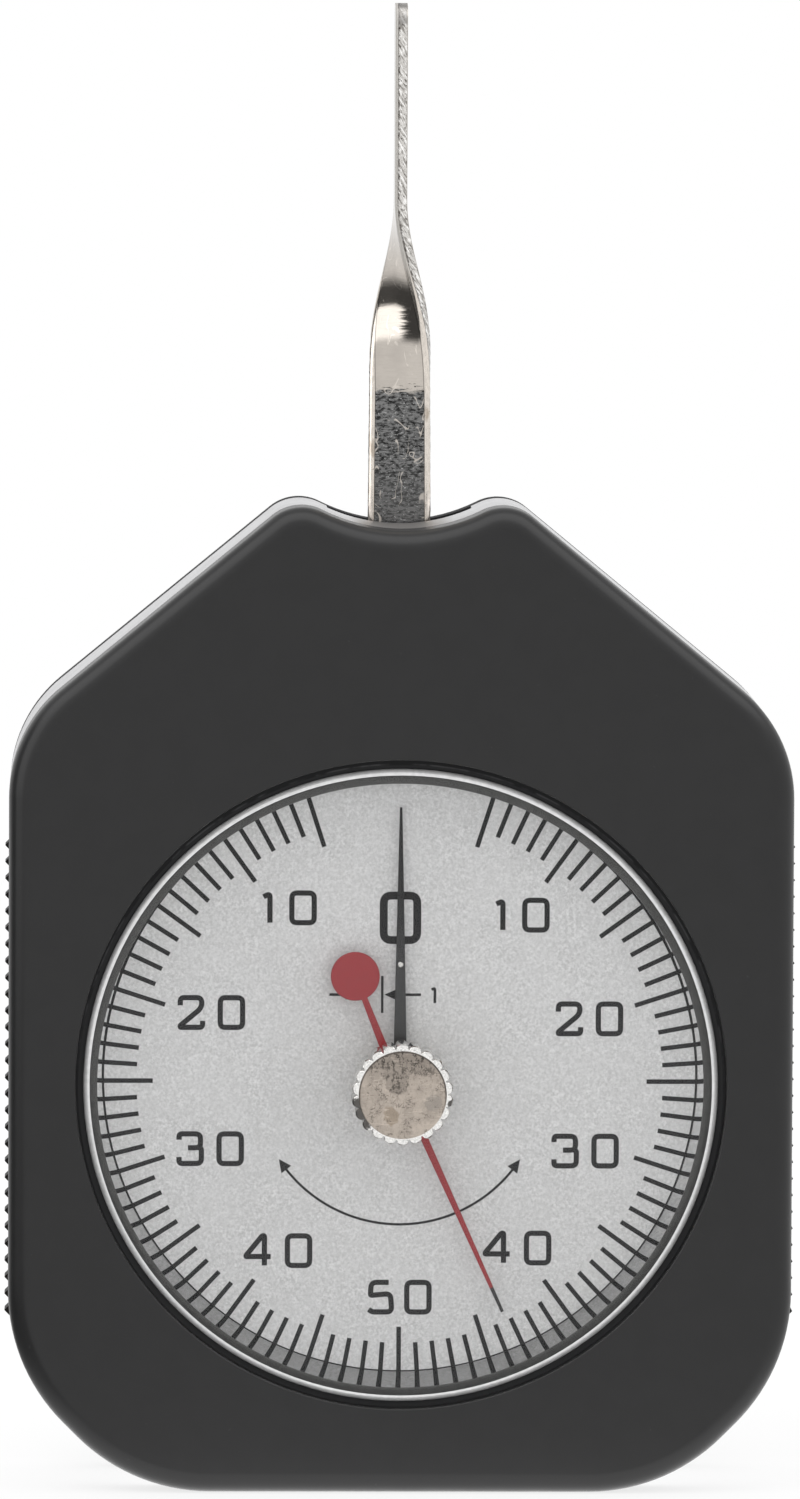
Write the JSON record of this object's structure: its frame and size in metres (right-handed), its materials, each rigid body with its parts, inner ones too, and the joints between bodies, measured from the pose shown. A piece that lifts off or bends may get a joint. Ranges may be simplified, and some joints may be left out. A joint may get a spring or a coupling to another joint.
{
  "type": "dial tension gauge",
  "caption": "Hand-held dial tension gauge with a twisted steel stylus, a toothed sector movement, a measuring pointer and a red peak pointer reset by a knurled knob.",
  "frame": {"origin": "centre of the flat base, on the middle plane of the case", "axes": "+X right of the dial, +Y out of the back of the case, +Z along the stylus; the dial faces -Y"},
  "size_m": [0.0636, 0.0251, 0.1195],
  "materials": {
    "shell": "matte moulded",
    "frame": "bead blasted satin",
    "steel": "plain turned",
    "nickel": "nickel plated, brushed and worn",
    "crystal": "clear acrylic",
    "dark_ring": "dark anodised",
    "dial": "fine sandblasted silver",
    "brass": "machined",
    "spring": "blued spring strip",
    "red": "satin red lacquer",
    "black": "satin black lacquer"
  },
  "bodies": {
    "case": {"front_shell": "shell", "middle_frame": "frame", "back_cover": "shell", "case_screw_1": "steel", "case_screw_2": "steel", "case_screw_3": "steel", "case_screw_4": "steel", "crystal": "crystal", "spacer_ring": "dark_ring", "dial_plate": "dial", "crystal_bush": "brass", "bush_nut": "brass", "friction_washer": "spring", "hairspring": "spring", "hairspring_stud": "brass", "main_spring": "spring", "main_spring_stud": "brass", "movement_plate": "brass", "rear_bridge": "brass", "pillar_1": "brass", "pillar_2": "brass", "pillar_3": "brass", "pillar_4": "brass", "bridge_screw_1": "steel", "bridge_screw_2": "steel", "bridge_screw_3": "steel", "bridge_screw_4": "steel", "plate_screw_1": "steel", "plate_screw_2": "steel", "plate_screw_3": "steel", "plate_screw_4": "steel", "arbor_bush_front": "brass", "arbor_bush_rear": "brass", "spindle_bush_front": "brass", "spindle_bush_rear": "brass", "stop_pin_left": "steel", "stop_pin_right": "steel"},
    "lever": {"lever_arbor": "steel", "lever_hub": "brass", "sector_gear": "brass", "stylus": "nickel", "stylus_screw_1": "steel", "stylus_screw_2": "steel", "balance_weight": "brass"},
    "pointer": {"pointer_spindle": "steel", "pinion": "brass", "pointer_hub": "brass", "black_pointer": "black", "drag_pin": "steel", "hairspring_collet": "brass"},
    "reset": {"reset_knob": "nickel", "knob_shaft": "steel", "red_pointer_hub": "brass", "red_pointer": "red"}
  },
  "joints": [
    {"name": "lever_swing", "type": "hinge", "parent": "case", "child": "lever", "pos_m": [0, 0, 0.0647], "axis": [0, 1, 0], "range_deg": [-12, 12], "stiffness_Nm_per_rad": 0.1265, "deforming": ["main_spring", "hairspring"]},
    {"name": "pointer_spin", "type": "hinge", "parent": "case", "child": "pointer", "pos_m": [0, 0, 0.0327], "axis": [0, 1, 0], "range_deg": [-181, 181]},
    {"name": "knob_turn", "type": "hinge", "parent": "case", "child": "reset", "pos_m": [0, 0, 0.0327], "axis": [0, 1, 0], "range_deg": [-151, 200]}
  ],
  "couplings": [
    {"joint": "pointer_spin", "follows": "lever_swing", "ratio": -15}
  ]
}
